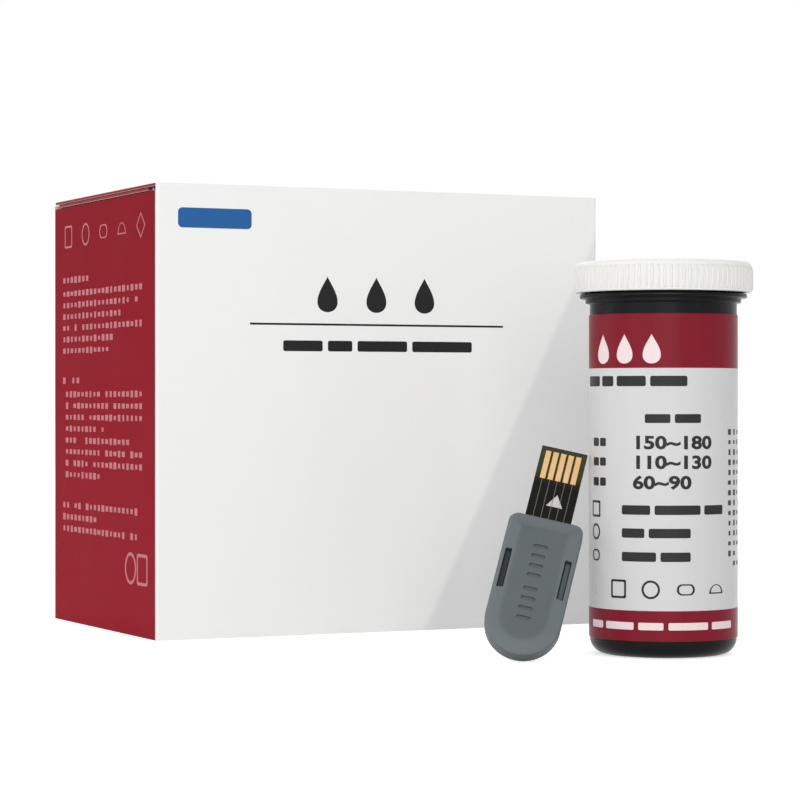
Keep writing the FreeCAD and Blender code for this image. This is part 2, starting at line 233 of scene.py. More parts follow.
class Finish(Graph):
    """A material made of nodes."""

    def __init__(self, name):
        self.material = bpy.data.materials.new(name)
        self.material.use_nodes = True
        super().__init__(self.material.node_tree)
        self.place = self.node("ShaderNodeTexCoord", output="Object")

    def dot(self, vector, direction):
        sockets = {0: vector, 1: direction}
        return self.node("ShaderNodeVectorMath", sockets, output="Value", operation="DOT_PRODUCT")

    def on_card(self, axis):
        """A point's place along one of the card's own directions."""
        direction = card_matrix.col[axis].xyz
        return self.dot(self.place, direction) - direction.dot(card_matrix.translation)

    def noise(self, scale, detail=2.0, roughness=0.5, stretch=None, centre=(0, 0, 0)):
        """Noise; with a stretch it is pulled out along some axes from a centre."""
        place = self.place
        if stretch:
            location = tuple(-c * s for c, s in zip(centre, stretch))
            place = self.node("ShaderNodeMapping", {"Vector": place, "Location": location, "Scale": stretch})
        sockets = {"Vector": place, "Scale": scale, "Detail": detail, "Roughness": roughness}
        return self.node("ShaderNodeTexNoise", sockets)

    def cells(self, scale):
        return self.node("ShaderNodeTexVoronoi", {"Vector": self.place, "Scale": scale})

    def mix(self, factor, a, b):
        """Colour a, turning to colour b as factor goes to 1."""
        return self.node("ShaderNodeMix", {0: factor, 6: a, 7: b}, output=2, data_type="RGBA")

    def done(self, paint, roughness, height, relief, strength, gloss=0.5, more=None):
        """Closes the material with its surface shader; relief is how deep its bumps are, in millimetres."""
        bump = self.node("ShaderNodeBump", {"Height": height, "Distance": relief * MM, "Strength": strength})
        sockets = {"Base Color": paint, "Roughness": roughness, "Normal": bump, "Specular IOR Level": gloss}
        shader = self.node("ShaderNodeBsdfPrincipled", {**sockets, **(more or {})})
        self.made("ShaderNodeOutputMaterial", {"Surface": shader})
        return self.material


# Finishes

def flecked(finish, base, spread=0.012, scale=40):
    """A colour with faint mottling, darker and lighter by the spread."""
    return finish.mix(finish.noise(scale, 3.0), shade(base, 1 - spread), shade(base, 1 + spread))


def two_sided_board(name, kit, outside, inside_mask, gloss):
    """Printed outside, and uncoated where inside_mask(x, y, z) is 1: on the inner skin and the cut edges."""
    finish = Finish(name)
    base = kit.board_inside
    place = finish.axes(finish.place)
    mask = inside_mask(*place)
    fibres = finish.noise(1500, 4.0, 0.7, (1.0, 1.0, 0.25))
    fleck = finish.noise(420).step(0.62, 0.72)
    plain = finish.mix(fibres, shade(base, 0.93), shade(base, 1.05))
    uncoated = finish.mix(fleck * 0.35, plain, shade(base, 0.72))
    waves = finish.noise(90) * 0.8 + finish.noise(2600) * 0.2
    tooth = finish.noise(2200, 3.0) * mask * 0.6
    roughness = mask * 0.45 + (finish.noise(60) * 0.12 + 0.36)
    paint = finish.mix(mask, outside(finish, *place), uncoated)
    return finish.done(paint, roughness, waves + tooth, 0.05, 0.5, gloss)


def front_skin(kit):
    """White with a painted shadow: a soft-edged grey field across the lower right corner."""
    upper = Vector((50.1, 81.1)) * MM
    lower = Vector((10.1, 0.0)) * MM
    edge = (upper - lower).normalized()
    softness = 1.1 * MM

    def paint(finish, x, y, z):
        away = (x - lower.x) * edge.y - (z - lower.y) * edge.x
        white = flecked(finish, kit.board_white, 0.01)
        # Painted shadow: the board turns grey past the diagonal edge.
        return finish.mix(away.step(-softness, softness), white, shade(kit.board_painted_shadow))

    return paint


def plain_skin(base):
    return lambda finish, x, y, z: flecked(finish, base)


def red_skin(kit):
    """Red with painted shade, darker towards the top, and a pale worn line along the front fold."""
    carton_height = 100 * MM
    fold_start = 33.95 * MM
    fold_end = 34.3 * MM
    worn = (0.86, 0.72, 0.72, 1)

    def paint(finish, x, y, z):
        # Painted shade: the red is painted darker towards the top.
        shaded_red = finish.mix(z / carton_height, shade(kit.board_red, 1.12), shade(kit.board_red, 0.86))
        body = finish.mix(finish.noise(35, 3.0) * 0.5, shaded_red, shade(kit.board_red, 1.1))
        fold = (y * -1).step(fold_start, fold_end) * (finish.noise(700) * 0.5 + 0.55)
        return finish.mix(fold, body, worn)

    return paint


def lid_skin(kit, edge):
    """White that turns red past an edge to the left and to the right, where it meets the side panels."""
    def paint(finish, x, y, z):
        return finish.mix(x.size() > edge, flecked(finish, kit.board_white), shade(kit.board_red))

    return paint


def ink(name, base, roughness=0.42):
    """Printing ink with a faint press grain."""
    finish = Finish(name)
    grain = finish.noise(5200)
    paint = finish.mix(grain * 0.5, shade(base), shade(base, 1.25))
    return finish.done(paint, finish.noise(900) * 0.12 + roughness, grain, 0.004, 0.4, 0.12)


def grained(name, noise, dark, light, roughness, spread, relief, strength, gloss=0.5, more=None):
    """A finish whose colour, roughness and relief all follow one noise."""
    finish = Finish(name)
    grain = finish.noise(*noise)
    paint = finish.mix(grain, srgb(*dark), srgb(*light))
    return finish.done(paint, grain * spread + roughness, grain, relief, strength, gloss, more)


def bead_fill():
    """Packed drying beads seen through the end of the plug, with painted shade darkening the gaps between
    them.
    """
    finish = Finish("desiccant")
    gaps = finish.cells(900)
    # Painted shade: each bead darkens towards the gaps round it.
    paint = finish.mix(gaps, srgb(226, 214, 186), srgb(170, 150, 116))
    return finish.done(paint, gaps * 0.3 + 0.4, 1 - gaps, 0.4, 0.9)


def black_plastic(kit):
    """Glossy injection moulding with fine scuffs running round the tube."""
    finish = Finish("tube_black")
    scuffs = finish.noise(900, 3.0, 0.6, (0.25, 0.25, 1.0))
    dust = finish.noise(3200).step(0.70, 0.8)
    paint = finish.mix(dust * 0.25, shade(kit.tube_black), shade(kit.tube_black, 3.0))
    return finish.done(paint, scuffs * 0.16 + 0.2, scuffs, 0.012, 0.35, 0.09)


def wrap_film(kit):
    """The vial's wrap: white film with two red bands, lightly glossy."""
    finish = Finish("label_print")
    z = finish.axes(finish.place)[2]
    edge = 0.05 * MM
    low = 1 - z.step(kit.band_low - edge, kit.band_low + edge)
    high = z.step(kit.band_high - edge, kit.band_high + edge)
    white = flecked(finish, kit.wrap_white, 0.012, 60)
    red = finish.mix(finish.noise(45), shade(kit.wrap_red, 0.92), shade(kit.wrap_red, 1.12))
    ripple = finish.noise(70, 2.0, 0.5, (1.0, 1.0, 0.18), vial_centre)
    return finish.done(finish.mix(low + high, white, red), finish.noise(300) * 0.1 + 0.24,
                       ripple, 0.10, 0.5, 0.07)


def cap_plastic(kit):
    """Milky white cap plastic, soft in its shadows."""
    finish = Finish("cap_white")
    grain = finish.noise(1800, 3.0)
    paint = finish.mix(finish.noise(50), shade(kit.cap_white, 0.975), shade(kit.cap_white, 1.01))
    depth = {"Subsurface Weight": 0.25, "Subsurface Scale": 0.8 * MM, "Subsurface Radius": (1.0, 0.95, 0.9)}
    return finish.done(paint, grain * 0.1 + 0.34, grain, 0.01, 0.3, 0.25, depth)


def handle_plastic(name, kit, factor=1.0, shaded_tab=None):
    """Grey moulded handle with a fine spark-eroded grain and random rubbed patches, and a painted highlight
    that makes the slopes round its face paler.
    """
    finish = Finish(name)
    base = kit.handle_grey
    grain = finish.cells(3600) * 0.6 + finish.noise(2400, 3.0) * 0.4
    cloud = finish.noise(110, 3.0)
    rub = finish.noise(260, 4.0, 0.7).step(0.6, 0.8)
    facing = finish.dot(finish.node("ShaderNodeNewGeometry", output="Normal"), card_matrix.col[2].xyz).size()
    # Painted highlight: the slopes round the face are painted paler.
    slope_highlight = facing.step(0.55, 0.8) * (1 - facing.step(0.93, 0.995))
    body = finish.mix(cloud, shade(base, 0.82 * factor), shade(base, 0.96 * factor))
    worn = finish.mix(rub * 0.3, body, shade(base, 1.1 * factor))
    paint = finish.mix(slope_highlight, worn, shade(base, 1.2 * factor))
    # Painted shade: the left latch tab is painted dark.
    if shaded_tab:
        paint = finish.mix(shaded_tab(finish), paint, shade(base, 0.3))
    return finish.done(paint, cloud * 0.12 + 0.42, grain, 0.02, 0.55, 0.18)


def left_tab_shade(finish):
    """1 on the latch tab that fills the left window, where painted shade makes it darker than the rest."""
    return (finish.on_card(0) < 0) * (finish.on_card(2) > shell_low.z + 0.2 * MM)


def board_lacquer():
    """Black solder lacquer with a slight orange-peel surface, olive round the contacts where it is thin."""
    finish = Finish("pcb_black")
    peel = finish.noise(1300)
    thin = finish.on_card(1).step(contact_low.y - 1.5 * MM, contact_low.y + 2.5 * MM)
    black = finish.mix(peel, srgb(13, 14, 12), srgb(23, 24, 20))
    olive = finish.mix(peel, srgb(50, 49, 35), srgb(66, 65, 48))
    return finish.done(finish.mix(thin, black, olive), peel * 0.12 + 0.3, peel, 0.01, 0.5, 0.1)


def leaflet_paper():
    """Thin printed paper: faint greeked lines across it."""
    finish = Finish("leaflet_paper")
    x, y, z = finish.axes(finish.place)
    low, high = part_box("instruction_leaflet")
    pitch = 2.4 * MM
    margin = 4.0 * MM
    row = 1 - ((z / pitch).math("FRACT") - 0.5).size().step(0.14, 0.22)
    letters = finish.noise(520, 1.0, 0.5, (1.0, 0.0, 0.7)).step(0.43, 0.46)
    field = (x > low.x + margin) * (x < high.x - margin) * (z > low.z + margin) * (z < high.z - margin)
    fibre = finish.noise(1500, 4.0, 0.7)
    paper = finish.mix(fibre, srgb(226, 225, 219), srgb(242, 241, 237))
    paint = finish.mix(row * letters * field * 0.7, paper, srgb(92, 92, 96))
    return finish.done(paint, fibre * 0.1 + 0.78, fibre, 0.03, 0.6)


# Meshes

def linked(name, data):
    """A new object in the scene."""
    item = bpy.data.objects.new(name, data)
    bpy.context.scene.collection.objects.link(item)
    return item


def frozen(item):
    """The mesh that an object shows with its modifiers; the object itself is removed."""
    bpy.context.view_layer.update()
    mesh = bpy.data.meshes.new_from_object(item.evaluated_get(bpy.context.evaluated_depsgraph_get()))
    bpy.data.objects.remove(item)
    return mesh


def new_piece(name, mesh, material, body, replaced=()):
    """Puts a finished mesh in the scene, on its body and in its material slot."""
    piece = linked(name, mesh)
    mesh.materials.clear()
    mesh.materials.append(material)
    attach(piece, body)
    if replaced:
        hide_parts(*replaced)


def mesh_of(bm, name):
    mesh = bpy.data.meshes.new(name)
    bm.to_mesh(mesh)
    bm.free()
    return mesh


def smoothed(mesh, degrees):
    """Smooth shading with sharp edges kept past an angle."""
    mesh.shade_smooth()
    mesh.set_sharp_from_angle(angle=math.radians(degrees))
    return mesh


def finished_mesh(bm, name):
    """Closes a bmesh: doubles merged and normals outward."""
    bmesh.ops.remove_doubles(bm, verts=bm.verts, dist=0.0005 * MM)
    bmesh.ops.recalc_face_normals(bm, faces=bm.faces)
    return mesh_of(bm, name)


def merged(bm, mesh, shift=(0, 0, 0)):
    """Adds a mesh to a bmesh, moved."""
    start = len(bm.verts)
    bm.from_mesh(mesh)
    bm.verts.ensure_lookup_table()
    for vert in bm.verts[start:]:
        vert.co += Vector(shift)
    bpy.data.meshes.remove(mesh)


def level_ring(bm, outline, level):
    """The vertices of an outline at one level."""
    return [bm.verts.new((u, v, level)) for u, v in outline]


def loft(bm, rings, closed=False):
    """Faces from each ring of vertices to the next; a ring may be a single point."""
    following = rings[1:] + rings[:1] if closed else rings[1:]
    for low, high in zip(rings, following):
        count = max(len(low), len(high))
        for i in range(count):
            j = (i + 1) % count
            corners = (low[i % len(low)], low[j % len(low)], high[j % len(high)], high[i % len(high)])
            bm.faces.new(dict.fromkeys(corners))


def solid(bm, rings):
    """A loft closed by a face at either end."""
    loft(bm, rings)
    bm.faces.new(rings[0][::-1])
    bm.faces.new(rings[-1])


def arc(u, v, radius, steps=28, start=0.0, sweep=math.tau):
    """A round outline, or a part of one."""
    count = steps if sweep >= math.tau else steps + 1
    angles = [start + sweep * k / steps for k in range(count)]
    return [(u + radius * math.cos(angle), v + radius * math.sin(angle)) for angle in angles]


def rounded(points, steps=8):
    """An open chain of (u, v, radius) corners, with its corners rounded."""
    chain = []
    for i, (u, v, radius) in enumerate(points):
        if radius <= 0 or i in (0, len(points) - 1):
            chain.append((u, v))
            continue
        corner = Vector((u, v))
        before = (Vector(points[i - 1][:2]) - corner).normalized()
        after = (Vector(points[i + 1][:2]) - corner).normalized()
        half = before.angle(after) / 2
        centre = corner + (before + after).normalized() * (radius / math.sin(half))
        reach = radius / math.tan(half)
        start = corner + before * reach
        end = corner + after * reach
        sweep = math.pi - 2 * half
        spin = 1 if (start - centre).cross(end - centre) > 0 else -1
        for k in range(steps + 1):
            turn = Matrix.Rotation(spin * sweep * k / steps, 2)
            chain.append(tuple(centre + turn @ (start - centre)))
    return chain


def turned(name, outline, segments):
    """A closed round body on the vial's axis, from (radius, height, rounding) corners in millimetres."""
    bm = bmesh.new()
    rings = []
    for radius, height in rounded(outline):
        steps = segments if radius > 0 else 1
        rings.append(level_ring(bm, arc(vial_centre.x, vial_centre.y, radius * MM, steps), height * MM))
    loft(bm, rings)
    return smoothed(finished_mesh(bm, name), 32)


# Prints: flat outlines in (u, v), raised to thin closed plates and laid on a surface

def plate(bm, outline, low=-PRINT_SUNK, high=PRINT_PROUD):
    """A flat outline as a closed plate."""
    solid(bm, [level_ring(bm, outline, level) for level in (low, high)])


def outlined(bm, outline, factor):
    """The band between an outline and the same one drawn in about its middle, as a closed plate."""
    u0, v0 = [sum(axis) / len(outline) for axis in zip(*outline)]
    inner = [(u0 + (u - u0) * factor, v0 + (v - v0) * factor) for u, v in outline]
    edges = ((outline, -PRINT_SUNK), (outline, PRINT_PROUD), (inner, PRINT_PROUD), (inner, -PRINT_SUNK))
    loft(bm, [level_ring(bm, *edge) for edge in edges], closed=True)


def bar(u0, v0, u1, v1, radius=0.0, steps=5):
    """A rectangle, or with a radius a rounded one."""
    if radius <= 0:
        return [(u0, v0), (u1, v0), (u1, v1), (u0, v1)]
    left, low, right, high = u0 + radius, v0 + radius, u1 - radius, v1 - radius
    corners = ((right, low, -90), (right, high, 0), (left, high, 90), (left, low, 180))
    arcs = [arc(u, v, radius, steps, math.radians(start), math.pi / 2) for u, v, start in corners]
    return sum(arcs, [])


def drop(u, v, width, height, steps=36):
    """A hanging drop that stands on (u, v): round below, pointed above."""
    points = []
    for k in range(steps):
        angle = math.tau * (k + 0.5) / steps
        aside = 0.62 * math.sin(angle) * math.sin(angle / 2) ** 1.4
        points.append((u - width * aside, v + height * (0.5 + 0.5 * math.cos(angle))))
    return points


def symbols(bm, u0, v, pitch, size, stroke, count=5):
    """A row of plain outlined shapes: square, circle, capsule, half disc and diamond."""
    half = size / 2
    for i in range(count):
        u = u0 + pitch * i
        shapes = (
            bar(u - half, v - half, u + half, v + half, size * 0.1),
            arc(u, v, half),
            bar(u - half, v - half * 0.6, u + half, v + half * 0.6, half * 0.55),
            arc(u, v - half * 0.5, half, 20, 0.0, math.pi),
            arc(u, v, half * 1.1, 4),
        )
        outlined(bm, shapes[i], 1 - 2 * stroke / size)


def words(bm, u, v, height, widths, gap):
    """A row of bars, as long as words would be."""
    for width in widths:
        plate(bm, bar(u, v, u + width, v + height, height * 0.18, 3))
        u += width + gap


def numbers(bm, text, u, v, height, weight, widen):
    """Plain digits as closed plates, bolder by a weight and broader by a factor."""
    curve = bpy.data.curves.new("digits", "FONT")
    curve.body = text
    curve.size = height / 0.69
    curve.offset = weight
    curve.extrude = PRINT_THICKNESS / 2
    curve.resolution_u = 3
    mesh = frozen(linked("digits", curve))
    bpy.data.curves.remove(curve)
    mesh.transform(Matrix.Diagonal((widen, 1, 1, 1)))
    merged(bm, mesh, (u, v, PRINT_MIDDLE))


def on_front(u, v, w):
    return Vector((u, front_low.y - w, v))


def on_back(u, v, w):
    return Vector((-u, back_high.y + w, v))


def on_left(u, v, w):
    return Vector((left_low.x - w, -u, v))


def on_right(u, v, w):
    return Vector((right_high.x + w, u, v))


def on_wrap(u, v, w):
    """Round the vial: u runs to the right from the line that faces the camera."""
    angle = u / wrap_radius
    outward = TO_CAMERA * math.cos(angle) + CAMERA_RIGHT * math.sin(angle)
    flat = vial_centre + outward * (wrap_radius + w)
    return Vector((flat.x, flat.y, v))


def on_board(u, v, w):
    """The front face of the card's circuit board."""
    return card_matrix @ Vector((u, v, board_high.z + w))


def print_piece(name, bm, surface, material, body, step=None):
    """Lays plates on a surface as one print, cut every step along u so that they follow a round one."""
    if step:
        left = min(v.co.x for v in bm.verts)
        right = max(v.co.x for v in bm.verts)
        for k in range(1, int((right - left) / step) + 1):
            everything = bm.verts[:] + bm.edges[:] + bm.faces[:]
            bmesh.ops.bisect_plane(
                bm, geom=everything, dist=1e-5, plane_co=(left + k * step, 0, 0), plane_no=(1, 0, 0))
    for vert in bm.verts:
        vert.co = surface(*(vert.co * MM))
    new_piece(name, finished_mesh(bm, name), material, body)


# Geometry nodes

class Grower(Graph):
    """A geometry node tree with named inputs."""

    def __init__(self, name, inputs):
        tree = bpy.data.node_groups.new(name, "GeometryNodeTree")
        super().__init__(tree)
        self.names = {}
        for label, kind in inputs.items():
            socket = tree.interface.new_socket(label, in_out="INPUT", socket_type="NodeSocket" + kind)
            self.names[label] = socket.identifier
        tree.interface.new_socket("Geometry", in_out="OUTPUT", socket_type="NodeSocketGeometry")
        self.source = tree.nodes.new("NodeGroupInput")

    def given(self):
        """The tree's inputs, in their order."""
        return [Value(self, self.source.outputs[label]) for label in self.names]

    def random(self, low, high, seed, more=None):
        """A number between two bounds, drawn for each element."""
        sockets = {"Min": low, "Max": high, "Seed": seed, **(more or {})}
        return self.node("FunctionNodeRandomValue", sockets, output=1, data_type="FLOAT")

    def close(self, geometry, material):
        """Every tree ends the same way: real geometry with its material."""
        real = self.node("GeometryNodeRealizeInstances", {0: geometry})
        dressed = self.node("GeometryNodeSetMaterial", {"Geometry": real, "Material": material})
        self.made("NodeGroupOutput", {0: dressed})

    def grow(self, values):
        """The mesh that the tree makes with these inputs."""
        holder = linked("grower", bpy.data.meshes.new("grower"))
        modifier = holder.modifiers.new("grower", "NODES")
        modifier.node_group = self.tree
        for label, value in values.items():
            modifier[self.names[label]] = value
        return frozen(holder)


def text_block_tree():
    """Lines of word-like bars: a grid of bars, thinned at random and cut ragged at the right."""
    tree = Grower("text_block", {
        "Width": "Float", "Height": "Float", "Columns": "Int", "Rows": "Int", "Bar height": "Float",
        "Thickness": "Float", "Seed": "Int", "Material": "Material"})
    width, height, columns, rows, tallest, thickness, seed, material = tree.given()
    grid = tree.node("GeometryNodeMeshGrid", {
        "Size X": width, "Size Y": height, "Vertices X": columns, "Vertices Y": rows})
    x, y, z = tree.axes(tree.node("GeometryNodeInputPosition"))
    row = (y / height * rows + 100).math("ROUND")
    reach = tree.random(0.45, 1.6, seed, {"ID": row})
    past_end = x > (reach - 0.5) * width
    gap = tree.node(
        "FunctionNodeRandomValue", {"Probability": 0.06, "Seed": seed}, output=3, data_type="BOOLEAN")
    kept = tree.node("GeometryNodeDeleteGeometry", {
        "Geometry": grid, "Selection": past_end.math("MAXIMUM", gap)}, domain="POINT")
    stretch = tree.random(0.44, 0.76, seed)
    tall = tree.random(0.6, 1.0, seed + 7)
    size = tree.node("ShaderNodeCombineXYZ", {0: stretch * width / columns, 1: tall * tallest, 2: thickness})
    cube = tree.node("GeometryNodeMeshCube", {"Size": (1.0, 1.0, 1.0)})
    bars = tree.node("GeometryNodeInstanceOnPoints", {"Points": kept, "Instance": cube, "Scale": size})
    tree.close(bars, material)
    return tree


def rib_ring_tree():
    """One rib, repeated round a circle and turned outwards."""
    tree = Grower("rib_ring", {"Rib": "Object", "Count": "Int", "Radius": "Float", "Material": "Material"})
    rib, count, radius, material = tree.given()
    circle = tree.node("GeometryNodeMeshCircle", {"Vertices": count, "Radius": radius})
    place = tree.node("GeometryNodeInputPosition")
    turn = tree.node("FunctionNodeAlignRotationToVector", {"Vector": place}, axis="X")
    shape = tree.node("GeometryNodeObjectInfo", {"Object": rib}, output="Geometry")
    sockets = {"Points": circle, "Instance": shape, "Rotation": turn}
    tree.close(tree.node("GeometryNodeInstanceOnPoints", sockets), material)
    return tree


def text_block(bm, tree, area, seed, material):
    """Greeked lines that fill a rectangle."""
    u0, v0, u1, v1, rows, columns = area
    line = (v1 - v0) / rows
    mesh = tree.grow({
        "Width": u1 - u0, "Height": v1 - v0 - line, "Columns": columns, "Rows": rows,
        "Bar height": line * 0.58, "Thickness": PRINT_THICKNESS, "Seed": seed, "Material": material})
    merged(bm, mesh, ((u0 + u1) / 2, (v0 + v1) / 2, PRINT_MIDDLE))


# Places taken from the frame

front_low, front_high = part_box("carton_front_panel")
back_low, back_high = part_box("carton_back_panel")
left_low, left_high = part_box("carton_left_panel")
right_low, right_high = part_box("carton_right_panel")
lid_low, lid_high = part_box("carton_lid")
dust_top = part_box("left_dust_flap")[1].z
bottom_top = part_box("bottom_front_flap")[1].z
wrap_low, wrap_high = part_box("vial_label")
tube_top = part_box("vial_tube")[1].z
cap_low, cap_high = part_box("vial_cap")
vial_centre = (wrap_low + wrap_high) / 2
wrap_radius = (wrap_high.x - wrap_low.x) / 2
BOARD = front_high.y - front_low.y


def turned_box(node, turn):
    """Lowest and highest corners of a node in turned directions."""
    points = [turn @ vert.co for vert in frame["nodes"][node].data.vertices]
    return Vector(map(min, zip(*points))), Vector(map(max, zip(*points)))


def card_frame():
    """The card's own directions and origin, worked out from its connector's mount."""
    mount = next(m for m in frame["record"]["mounts"] if m["name"] == "card_edge_connector")
    along = Vector(mount["axis"]).normalized()
    tilt = math.asin(along.dot(CAMERA_RIGHT))
    rise = (along - CAMERA_RIGHT * math.sin(tilt)).normalized()
    out = (CAMERA_RIGHT * math.cos(tilt) - rise * math.sin(tilt)).cross(along).normalized()
    turn = Matrix((along.cross(out), along, out)).transposed().to_4x4()
    low, high = turned_box("card_back_shell", turn.inverted())
    middle = (turn.inverted() @ Vector(mount["pos_m"])).x
    return turn @ Matrix.Translation((middle, low.y, low.z))


card_matrix = card_frame()
to_card = card_matrix.inverted()
shell_low, shell_high = turned_box("card_front_shell", to_card)
board_low, board_high = turned_box("card_pcb", to_card)
contact_low, contact_high = turned_box("card_contacts", to_card)
handle_width = shell_high.x - shell_low.x
handle_length = shell_high.y
contact_pitch = (contact_high.x - contact_low.x - CONTACT_WIDTH) / (CONTACT_COUNT - 1)


def give(material, *nodes):
    """Dresses construction nodes in a material."""
    for node in nodes:
        target = frame["nodes"][node]
        target.data.materials.clear()
        target.data.materials.append(material)


# Operators

class KIT_OT_carton(bpy.types.Operator):
    """Dresses the carton's panels and flaps as coated board, printed outside and plain inside"""
    bl_idname = "kit.carton"
    bl_label = "Carton board"

    def execute(self, context):
        kit = context.scene.kit
        skin = 0.06 * MM
        tuck_lean = math.radians(12)
        satin, soft, matt = 0.12, 0.06, 0.01
        white = plain_skin(kit.board_white)
        red = red_skin(kit)

        def behind_tuck(x, y, z):
            depth = (y - lid_low.y) * math.cos(tuck_lean) - (lid_low.z - z) * math.sin(tuck_lean)
            return depth > BOARD - skin

        boards = (
            ("board_white_front", front_skin(kit), lambda x, y, z: y > front_high.y - skin,
             satin, "carton_front_panel"),
            ("board_white_back", lid_skin(kit, back_high.x - skin), lambda x, y, z: y < back_low.y + skin,
             satin, "carton_back_panel"),
            ("board_red_left", red, lambda x, y, z: x > left_high.x - skin, matt, "carton_left_panel"),
            ("board_red_right", red, lambda x, y, z: x < right_low.x + skin, matt, "carton_right_panel"),
            ("board_white_lid", lid_skin(kit, lid_high.x - skin), lambda x, y, z: z < lid_low.z + skin,
             soft, "carton_lid"),
            ("board_white_tuck", white, behind_tuck, satin, "carton_tuck_flap"),
            ("board_white_dust", lid_skin(kit, -left_high.x - 0.4 * MM),
             lambda x, y, z: z < dust_top - BOARD + skin, soft, "left_dust_flap", "right_dust_flap"),
            ("board_white_bottom", white, lambda x, y, z: z > bottom_top - skin, satin,
             "bottom_front_flap", "bottom_back_flap"),
            ("board_inside", plain_skin(kit.board_inside), lambda x, y, z: z > bottom_top, satin,
             "bottom_left_flap", "bottom_right_flap", "carton_glue_flap"),
        )
        for name, outside, inside_mask, gloss, *nodes in boards:
            give(two_sided_board(name, kit, outside, inside_mask, gloss), *nodes)
        give(leaflet_paper(), "instruction_leaflet")
        return {"FINISHED"}


class KIT_OT_carton_print(bpy.types.Operator):
    """Prints plain drops, bars, shapes and greeked lines on the carton"""
    bl_idname = "kit.carton_print"
    bl_label = "Carton print"

    def execute(self, context):
        kit = context.scene.kit
        dark = ink("ink_dark", kit.ink_dark)
        blue = ink("ink_blue", kit.ink_blue)
        rose = ink("ink_rose", kit.ink_rose)
        tree = text_block_tree()
        for side, surface in (("front", on_front), ("back", on_back)):
            bm = bmesh.new()
            for u in (-14.2, -2.1, 10.0):
                plate(bm, drop(u, 72.2, 5.6, 8.0))
            plate(bm, bar(-33.0, 69.2, 30.2, 69.65))
            words(bm, -25.0, 63.4, 2.4, (9.6, 6.0, 12.4, 15.2), 1.3)
            print_piece("carton_title_" + side, bm, surface, dark, "carton")
            bm = bmesh.new()
            plate(bm, bar(-50.0, 90.3, -32.6, 94.7, 1.0))
            print_piece("carton_corner_bar_" + side, bm, surface, blue, "carton")
        for side, surface, first_seed in (("left", on_left, 11), ("right", on_right, 31)):
            bm = bmesh.new()
            symbols(bm, -24.5, 91.2, 12.4, 5.3, 0.45)
            for seed, area in enumerate(SIDE_LINES, first_seed):
                text_block(bm, tree, area, seed, rose)
            outlined(bm, arc(18.5, 14.9, 3.6, 32), 0.8)
            outlined(bm, bar(22.6, 11.4, 29.4, 18.4, 0.8), 0.8)
            print_piece("carton_lines_" + side, bm, surface, rose, "carton")
        return {"FINISHED"}


class KIT_OT_tube(bpy.types.Operator):
    """Turns the black tube with its foot, collar, flange, neck and bore"""
    bl_idname = "kit.tube"
    bl_label = "Vial tube"

    def execute(self, context):
        radius = wrap_radius / MM - 0.2
        bore = radius - 1.3
        top = tube_top / MM
        foot_recess, floor = 0.4, 1.5
        collar, flange, neck = 72.5, 73.5, 74.4
        collar_radius, flange_radius, neck_radius = 16.1, 17.3, 15.6
        outline = [(0, foot_recess, 0), (9.2, foot_recess, 0.2), (9.6, 0, 0.15), (radius, 0, 3.4),
                   (radius, collar, 0.2), (collar_radius, collar, 0.25), (collar_radius, flange, 0.2),
                   (flange_radius, flange, 0.3), (flange_radius, neck, 0.3), (neck_radius, neck, 0.2),
                   (neck_radius, top, 0.3), (bore, top, 0.3), (bore, floor, 1.0), (0, floor, 0)]
        mesh = turned("vial_tube_turned", outline, 192)
        black = black_plastic(context.scene.kit)
        new_piece("vial_tube_turned", mesh, black, "vial", ["vial_tube"])
        return {"FINISHED"}


class KIT_OT_wrap(bpy.types.Operator):
    """Wraps the printed film round the tube and prints it with plain marks and number ranges"""
    bl_idname = "kit.wrap"
    bl_label = "Vial wrap"

    def execute(self, context):
        kit = context.scene.kit
        film = 0.15 * MM
        seam = 0.4 * MM
        edge = 0.05 * MM
        stations = 256
        half_turn = math.pi * wrap_radius - seam
        section = ((wrap_low.z, -edge), (wrap_low.z + edge, 0.0), (wrap_high.z - edge, 0.0),
                   (wrap_high.z, -edge), (wrap_high.z, -film), (wrap_low.z, -film))
        bm = bmesh.new()
        rings = []
        for i in range(stations + 1):
            u = -half_turn + 2 * half_turn * i / stations
            rings.append([bm.verts.new(on_wrap(u, z, w)) for z, w in section])
        solid(bm, rings)
        mesh = smoothed(finished_mesh(bm, "vial_wrap"), 30)
        new_piece("vial_wrap", mesh, wrap_film(kit), "vial", ["vial_label"])
        self.prints(kit)
        return {"FINISHED"}

    def prints(self, kit):
        """Dark marks and number ranges on the white, light marks on the red bands."""
        dark = ink("ink_wrap_dark", shade(kit.ink_dark, 1.6), 0.3)
        white = ink("ink_wrap_white", kit.ink_white, 0.3)
        bm = bmesh.new()
        words(bm, -22.4, 55.3, 2.1, (5.6, 3.4, 6.6, 7.6), 0.9)
        words(bm, -5.2, 47.85, 1.8, (5.2, 5.6), 0.9)
        for text, v in (("150~180", 42.65), ("110~130", 38.65), ("60~90", 34.55)):
            numbers(bm, text, -7.8, v, 2.5, 0.13, 1.3)
            words(bm, -19.6, v + 0.4, 1.7, (2.4, 2.0), 0.5)
        for v, widths in ((29.25, (6.2, 9.6, 5.0)), (24.55, (5.0, 8.6)), (19.75, (7.4, 6.2))):
            words(bm, -10.3, v, 1.9, widths, 0.9)
        square = bar(-20.2, 28.5, -16.6, 31.9, 0.3)
        capsule = bar(-20.0, 19.5, -16.8, 21.9, 1.1)
        for mark in (square, arc(-18.4, 25.5, 1.7), capsule):
            outlined(bm, mark, 0.72)
        symbols(bm, -11.2, 14.1, 7.2, 3.8, 0.45, 4)
        text_block(bm, text_block_tree(), (15.0, 18.0, 22.0, 47.0, 14, 4), 51, dark)
        print_piece("wrap_dark_marks", bm, on_wrap, dark, "vial", 0.5)
        bm = bmesh.new()
        for u in (-15.6, -9.7, -3.8):
            plate(bm, drop(u, 59.9, 4.2, 6.0))
        words(bm, -20.0, 5.9, 1.5, (4.4, 7.0, 5.2, 8.6, 6.4), 1.0)
        print_piece("wrap_light_marks", bm, on_wrap, white, "vial", 0.5)


